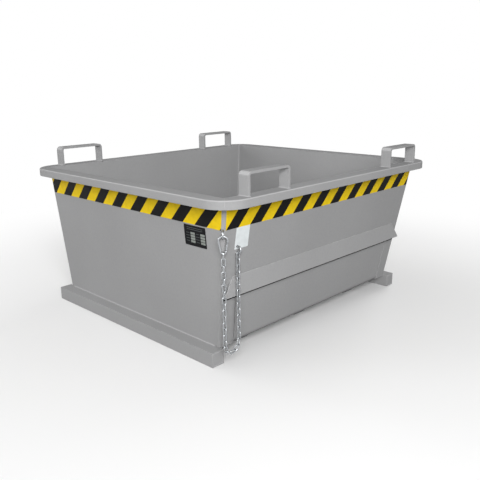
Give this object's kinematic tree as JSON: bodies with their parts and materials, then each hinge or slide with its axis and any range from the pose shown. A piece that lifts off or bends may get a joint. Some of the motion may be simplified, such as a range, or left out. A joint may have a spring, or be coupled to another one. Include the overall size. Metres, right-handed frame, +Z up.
{
  "type": "bottom-opening container",
  "caption": "Tapered open-top steel container whose floor and lower front wall swing down as a flap; fork lugs on the rim, hooked latch with a weighted lever, safety chain with snap hook.",
  "frame": {"origin": "on the ground, at the centre of the bounding box's bottom", "axes": "+X along the front towards the lever end, +Y from the front (lip side) to the back (latch side), +Z up"},
  "size_m": [1.2, 1.115, 0.634],
  "materials": {
    "grey_paint": "grey powder coat, slightly worn at edges",
    "bright_steel": "drawn bar, lightly oiled",
    "dark_steel": "hinge steel, dark with grease",
    "zinc": "zinc plated, dull",
    "cast_weight": "cast, painted black",
    "tape_yellow": "warning film, semi-matte",
    "tape_black": "warning film, semi-matte"
  },
  "bodies": {
    "hopper": {"left_end_wall": "grey_paint", "right_end_wall": "grey_paint", "front_wall": "grey_paint", "back_wall": "grey_paint", "rim_front": "grey_paint", "rim_back": "grey_paint", "rim_left": "grey_paint", "rim_right": "grey_paint", "fork_lug_front_left": "grey_paint", "fork_lug_front_right": "grey_paint", "fork_lug_back_left": "grey_paint", "fork_lug_back_right": "grey_paint", "front_lip": "grey_paint", "base_rail_left": "grey_paint", "base_rail_right": "grey_paint", "rail_end_caps": "grey_paint", "sill_plates": "grey_paint", "hinge_brackets": "dark_steel", "latch_bearings": "grey_paint", "lever_stop": "grey_paint", "hinge_rod": "dark_steel", "warning_tape_yellow": "tape_yellow", "warning_tape_black": "tape_black", "chain_corner_eye": "zinc", "chain_wall_eye": "zinc", "snap_hook": "zinc", "gate_pin": "zinc", "safety_chain": "zinc"},
    "flap": {"flap_sheet": "grey_paint", "hinge_sleeves": "dark_steel", "flap_runner_left": "grey_paint", "flap_runner_middle": "grey_paint", "flap_runner_right": "grey_paint", "flap_edge_bars": "grey_paint", "striker_plates": "grey_paint", "striker_pins": "bright_steel"},
    "latch": {"latch_bar": "bright_steel", "latch_hook_left": "grey_paint", "latch_hook_right": "grey_paint", "release_lever": "grey_paint", "lever_weight": "cast_weight"},
    "snap_gate": {"snap_hook_gate": "zinc"}
  },
  "joints": [
    {"name": "flap_hinge", "type": "hinge", "parent": "hopper", "child": "flap", "pos_m": [0, -0.45161, 0.234], "axis": [-1, 0, 0], "range_deg": [0, 70]},
    {"name": "latch_throw", "type": "hinge", "parent": "hopper", "child": "latch", "pos_m": [0, 0.50969, 0.07], "axis": [1, 0, 0], "range_deg": [-32, 0]},
    {"name": "snap_gate_hinge", "type": "hinge", "parent": "hopper", "child": "snap_gate", "pos_m": [-0.53669, -0.49762, 0.40336], "axis": [-0.7071, -0.7071, 0], "range_deg": [0, 25], "stiffness_Nm_per_rad": 0.02, "springref_deg": -11.46}
  ]
}
